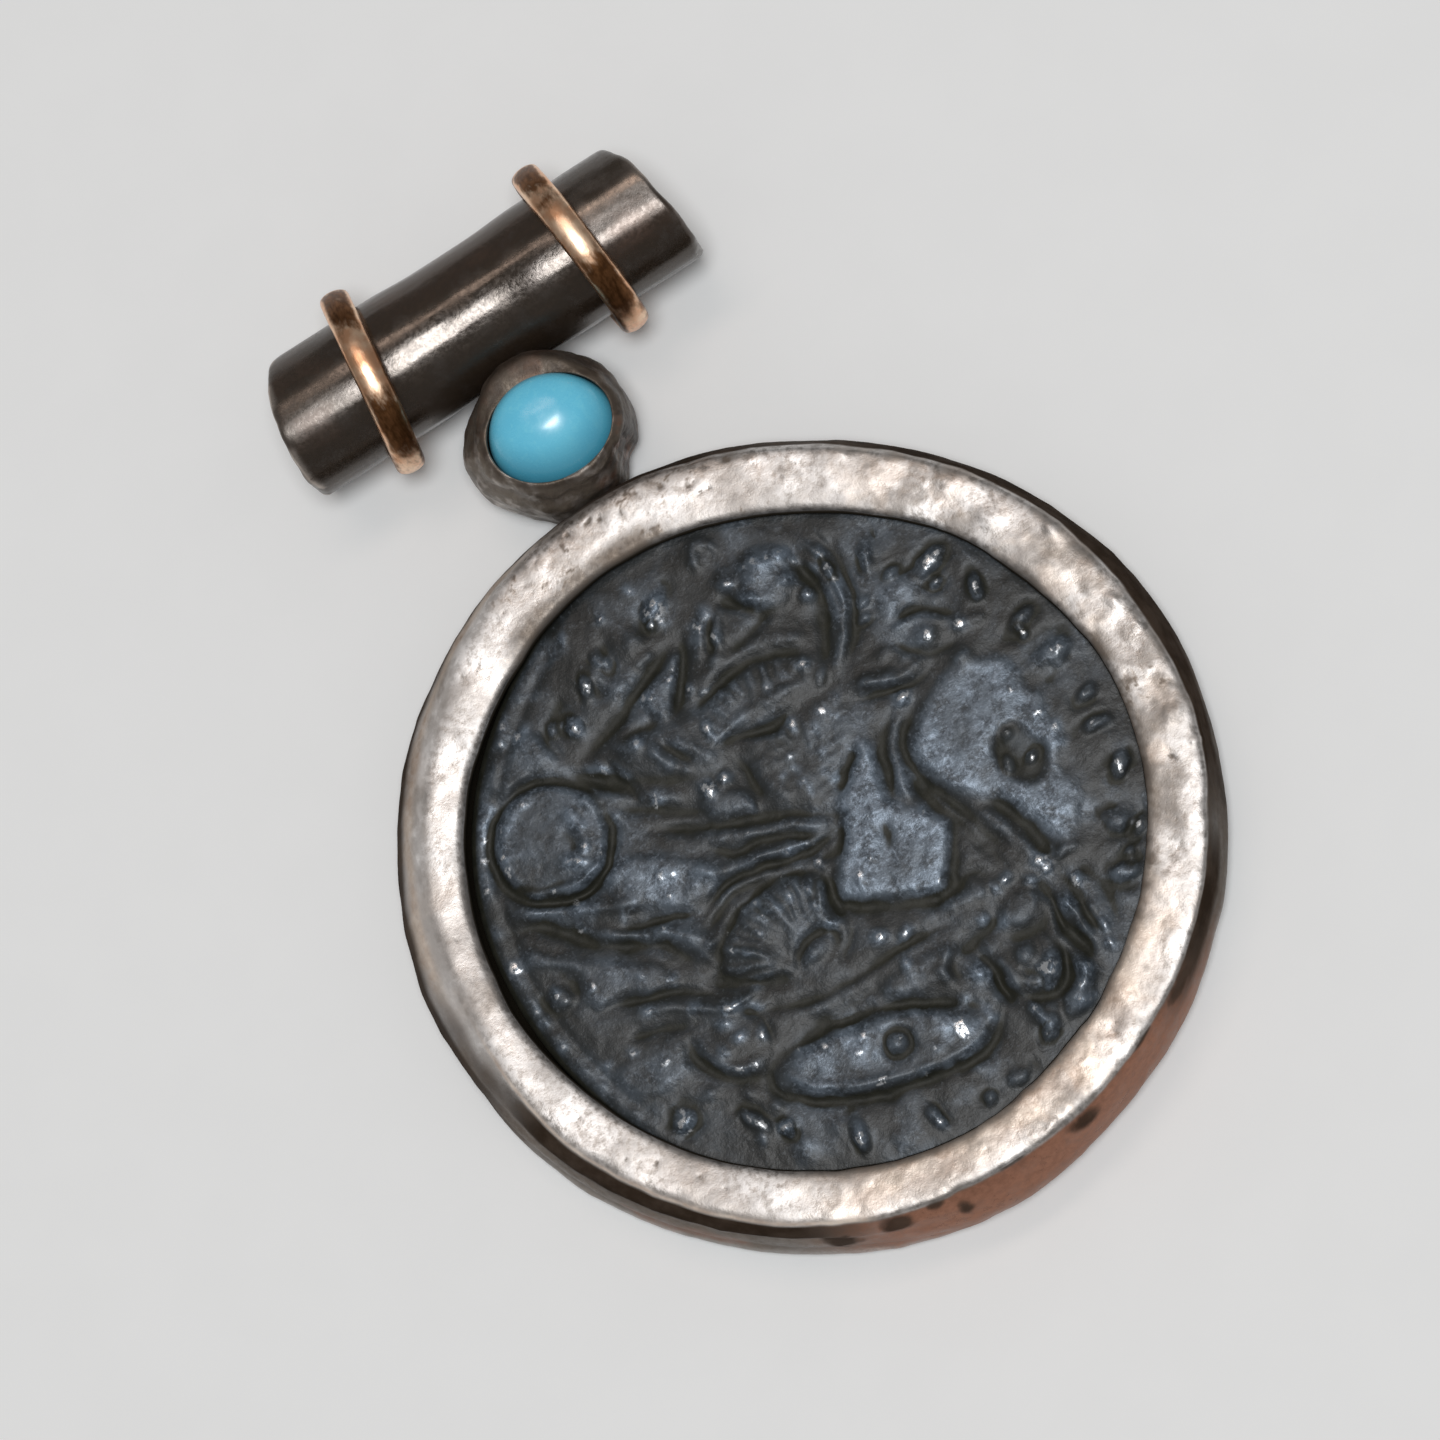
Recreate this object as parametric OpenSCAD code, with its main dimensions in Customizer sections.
// Coin pendant: a worn bronze coin in a hand-hammered silver channel bezel, hung from a
// silver bail tube by a small turquoise cup. Two rose-gold wire rings sit round the tube.
// Lies face up on z = 0, tube along X, coin towards -Y, origin under the middle of the whole.

/* [Bezel] */
// Mean radius of the opening over the coin
opening_r = 9.97; // [9.6:0.01:10.2]
// Mean radius of the crest of the hammered rim
crest_r = 11.35; // [11.1:0.01:11.6]
// Mean radius of the outer wall where it bulges most
outer_r = 12.25; // [12.1:0.01:12.6]
// Thickness of the bezel from back to crest
bezel_t = 3.4; // [3.1:0.1:3.8]
// Radius of the channel that holds the coin
channel_r = 10.78; // [10.7:0.01:10.85]

/* [Coin] */
// Mean radius of the flan
flan_r = 10.45; // [10.35:0.01:10.5]
// Thickness of the flan at its edge
flan_t = 1.8; // [1.5:0.05:1.85]
// How far the middle of each face stands proud of its edge
flan_crown = 0.15; // [0:0.01:0.25]

/* [Bail tube] */
// Outer radius of the tube
tube_r = 2.13; // [2.05:0.01:2.14]
// Radius of the bore that the cord or chain goes through
bore_r = 1.75; // [1.5:0.01:1.8]
// Distance from the middle of the coin to the axis of the tube
bail_y = 18.55; // [18.5:0.05:18.9]
// Half length of the tube on the side away from the coin
tube_far = 5.85; // [5.5:0.05:6.1]
// Half length of the tube on the side next to the coin
tube_near = 6.72; // [6.5:0.05:7]

/* [Gold rings] */
// Radius of the wire
wire_r = 0.42; // [0.35:0.01:0.42]
wire_flat = 1.12; // [1:0.01:1.15]
// Radius of the ring at the middle of its wire
ring_r = 2.61; // [2.61:0.01:2.7]
// Lean of the left ring from square to the tube, in degrees
lean_left = 6; // [0:0.5:8]
// How far the left ring's top tips along the tube, in degrees
tip_left = 7.5; // [0:0.5:7.5]
// Lean of the right ring from square to the tube, in degrees
lean_right = 5.5; // [0:0.5:6]
// How far the right ring's top tips along the tube, in degrees
tip_right = 2.5; // [0:0.5:4]

/* [Stone] */
// Half length of the cabochon at its girdle
stone_a = 2.0; // [1.9:0.01:2.05]
// Half width of the cabochon at its girdle
stone_b = 1.72; // [1.6:0.01:1.75]
// Turn of the cabochon from the line of the tube, in degrees
stone_turn = -8; // [-12:1:0]
// Distance from the middle of the coin to the middle of the stone
stone_y = 14.1; // [14:0.05:14.3]

/* [Hidden] */

// the coin's middle, so that the origin is under the middle of the whole
coin_y = -4.8;
// height of the tube's axis: the rings touch the surface that the bezel lies on
axis_z = ring_r + wire_r;
tube_x = -0.17;

// Hand-hammered outline of the bezel, one row for each 15 degrees from +X.
// Columns: opening, crest and outer wall, each in mm off its mean radius.
rim_rows = [
  //  opening  crest  outer
    [  0.04,  0.25, -0.03],   //   0
    [ -0.13,  0.23, -0.10],   //  15
    [ -0.16,  0.17, -0.18],   //  30
    [ -0.30,  0.03, -0.26],   //  45
    [ -0.38,  0.02, -0.27],   //  60
    [ -0.30,  0.14, -0.11],   //  75
    [ -0.14,  0.24, -0.01],   //  90
    [ -0.04,  0.26,  0.07],   // 105
    [ -0.04,  0.22,  0.12],   // 120
    [  0.05,  0.04,  0.15],   // 135
    [  0.06, -0.10,  0.08],   // 150
    [ -0.04, -0.24,  0.05],   // 165
    [ -0.09, -0.36,  0.00],   // 180
    [ -0.27, -0.26,  0.02],   // 195
    [ -0.32, -0.26, -0.09],   // 210
    [ -0.36, -0.28, -0.24],   // 225
    [ -0.35, -0.25, -0.26],   // 240
    [ -0.28, -0.22, -0.19],   // 255
    [ -0.20, -0.24, -0.19],   // 270
    [ -0.26, -0.12, -0.34],   // 285
    [ -0.20, -0.01, -0.30],   // 300
    [ -0.12,  0.16, -0.22],   // 315
    [ -0.02,  0.24, -0.15],   // 330
    [  0.06,  0.34, -0.14],   // 345
];

// Worn edge of the flan, one row for each 30 degrees from +X: mm off its mean radius.
// It is short on the left, where it shows inside the bezel's opening.
flan_rows = [0.08, 0.02, 0.05, -0.05, -0.40, -0.50, -0.72, -0.60, 0.00, 0.10, 0.05, 0.10];

// Lumpy foot of the stone's cup, one row for each 30 degrees from +X: radius in mm.
cup_rows = [2.27, 2.50, 2.75, 2.85, 2.90, 2.95, 2.88, 2.30, 2.30, 2.15, 2.15, 2.00];

// Section of the cup, from the foot up the outside, over the rim and down its pocket.
// Columns: height, share of the foot's radius, share of the stone's girdle.
cup_section = [
  //  z     foot   stone
    [0.35, 0.90,  0.00],
    [0.90, 0.99,  0.00],
    [2.00, 1.00,  0.00],
    [2.90, 0.62,  0.46],
    [3.70, 0.22,  0.92],
    [4.15, 0.00,  1.17],
    [4.30, 0.00,  1.08],
    [4.24, 0.00,  0.965],
    [3.62, 0.00,  1.03],
    [2.60, 0.00,  1.03],
];

// Section of the cabochon. Columns: height, share of its girdle.
stone_section = [
  //  z     share
    [2.68, 0.97],
    [2.76, 1.00],
    [3.55, 1.00],
    [3.90, 0.975],
    [4.20, 0.905],
    [4.50, 0.775],
    [4.75, 0.590],
    [4.92, 0.340],
    [4.97, 0.120],
];

// value of a ring of rows at angle a, eased between one row and the next
function between(lo, hi, t) = lo + (hi - lo) * (3 - 2 * t) * t * t;
function row_at(rows, a) =
    let (n = len(rows), p = a / 360 * n, i = floor(p) % n)
    between(rows[i], rows[(i + 1) % n], p - floor(p));

// a closed band or a capped stack of rings, k points in each of n rings
function band_faces(n, k) = [for (i = [0:n - 1], j = [0:k - 1])
    let (i1 = (i + 1) % n, j1 = (j + 1) % k)
    each [[i * k + j, i * k + j1, i1 * k + j1], [i * k + j, i1 * k + j1, i1 * k + j]]];
function stack_faces(n, k) = concat(
    [for (i = [0:n - 2], j = [0:k - 1])
        let (j1 = (j + 1) % k)
        each [[i * k + j, (i + 1) * k + j, (i + 1) * k + j1], [i * k + j, (i + 1) * k + j1, i * k + j1]]],
    [[for (j = [0:k - 1]) j]],
    [[for (j = [0:k - 1]) n * k - 1 - j]]);

// Section of the bezel at one angle, as [radius, height] with the opening, crest and outer radii
// there: flat back, bulging outer wall, hammered rim, front lip, channel and the back lip,
// which reaches further in, so that it backs the gap beside the short side of the flan.
function bezel_section(o, c, w) = [
    [o - 0.36, 0.00],
    [w - 0.70, 0.00],
    [w - 0.28, 0.22],
    [w - 0.06, 0.75],
    [w, 1.40],
    [w - 0.10, 2.05],
    [0.55 * w + 0.45 * c, 2.72],
    [c + 0.14, bezel_t - 0.17],
    [c - 0.12, bezel_t],
    [(o + c) / 2, bezel_t - 0.03],
    [o + 0.16, bezel_t - 0.10],
    [o, bezel_t - 0.30],
    [o + 0.06, bezel_t - 0.62],
    [channel_r, bezel_t - 0.72],
    [channel_r, 0.76],
    [o - 0.60, 0.66],
    [o - 0.66, 0.30],
];

module bezel() {
    sections = 48;
    points = [for (s = [0:sections - 1])
        let (a = 360 * s / sections, d = row_at(rim_rows, a))
        each [for (p = bezel_section(opening_r + d[0], crest_r + d[1], outer_r + d[2]))
            [p[0] * cos(a), p[0] * sin(a), p[1]]]];
    translate([0, coin_y, 0])
        polyhedron(points, band_faces(sections, 17), convexity = 6);
}

// Point at angle a of an oval turned with the stone
function oval(a, s) =
    let (x = s * stone_a * cos(a), y = s * stone_b * sin(a))
    [x * cos(stone_turn) - y * sin(stone_turn), x * sin(stone_turn) + y * cos(stone_turn)];

module cup() {
    around = 36;
    points = [for (q = cup_section, j = [0:around - 1])
        let (a = 360 * j / around, f = q[1] * row_at(cup_rows, a), g = oval(a, q[2]))
        [f * cos(a) + g[0], f * sin(a) + g[1], q[0]]];
    translate([0.03, coin_y + stone_y, 0])
        polyhedron(points, stack_faces(len(cup_section), around), convexity = 4);
}

// The tube's ends are cut on the slant, longer on the coin's side, with filed corners.
module tube_ends() {
    linear_extrude(height = 2 * tube_r + 2)
        polygon([
            [-tube_near - 0.02, -tube_r + 0.35], [-tube_near + 0.18, -tube_r + 0.02], [-tube_near + 0.4, -tube_r - 0.5],
            [tube_near - 0.4, -tube_r - 0.5], [tube_near - 0.18, -tube_r + 0.02], [tube_near + 0.02, -tube_r + 0.35],
            [tube_near - 0.22, 0.1],
            [tube_far + 0.18, tube_r - 0.55], [tube_far - 0.12, tube_r - 0.08], [tube_far - 0.45, tube_r + 0.5],
            [-tube_far + 0.45, tube_r + 0.5], [-tube_far + 0.12, tube_r - 0.08], [-tube_far - 0.18, tube_r - 0.55],
            [-tube_near + 0.22, 0.1],
        ]);
}

module tube_outer() {
    translate([tube_x, coin_y + bail_y, axis_z])
        intersection() {
            rotate([0, 90, 0]) cylinder(h = 2 * tube_near + 2, r = tube_r, center = true, $fn = 96);
            translate([0, 0, -tube_r - 1]) tube_ends();
        }
}

module bore() {
    translate([tube_x, coin_y + bail_y, axis_z])
        rotate([0, 90, 0]) cylinder(h = 2 * tube_near + 4, r = bore_r, center = true, $fn = 96);
}

module silver_frame() {
    color([0.80, 0.77, 0.73])
        difference() {
            union() {
                bezel();
                cup();
                tube_outer();
            }
            bore();
        }
}

module coin() {
    around = 48;
    low = bezel_t / 2 - flan_t / 2;
    high = low + flan_t;
    // columns: share of the flan's radius, height
    section = [
        [0.30, low - flan_crown], [0.86, low - 0.4 * flan_crown], [0.97, low + 0.02], [1.00, low + 0.25],
        [1.00, high - 0.25], [0.97, high - 0.02], [0.86, high + 0.4 * flan_crown], [0.30, high + flan_crown],
    ];
    points = [for (q = section, j = [0:around - 1])
        let (a = 360 * j / around, r = q[0] * (flan_r + row_at(flan_rows, a)))
        [r * cos(a), r * sin(a), q[1]]];
    color([0.23, 0.24, 0.25])
        translate([0, coin_y, 0])
            polyhedron(points, stack_faces(len(section), around), convexity = 2);
}

module stone() {
    around = 32;
    points = [for (q = stone_section, j = [0:around - 1])
        let (g = oval(360 * j / around, q[1]))
        [g[0], g[1], q[0]]];
    color([0.36, 0.71, 0.84])
        translate([0.03, coin_y + stone_y, 0])
            polyhedron(points, stack_faces(len(stone_section), around), convexity = 2);
}

module wire_ring(x, lean, tip) {
    color([0.80, 0.56, 0.42])
        translate([x, coin_y + bail_y, axis_z])
            rotate([0, 0, lean]) rotate([0, 90 + tip, 0])
                rotate_extrude($fn = 96) translate([ring_r, 0]) scale([1, wire_flat]) circle(r = wire_r, $fn = 48);
}

module gold_ring_left() { wire_ring(-3.80, -lean_left, tip_left); }
module gold_ring_right() { wire_ring(3.50, lean_right, tip_right); }

silver_frame();
coin();
stone();
gold_ring_left();
gold_ring_right();
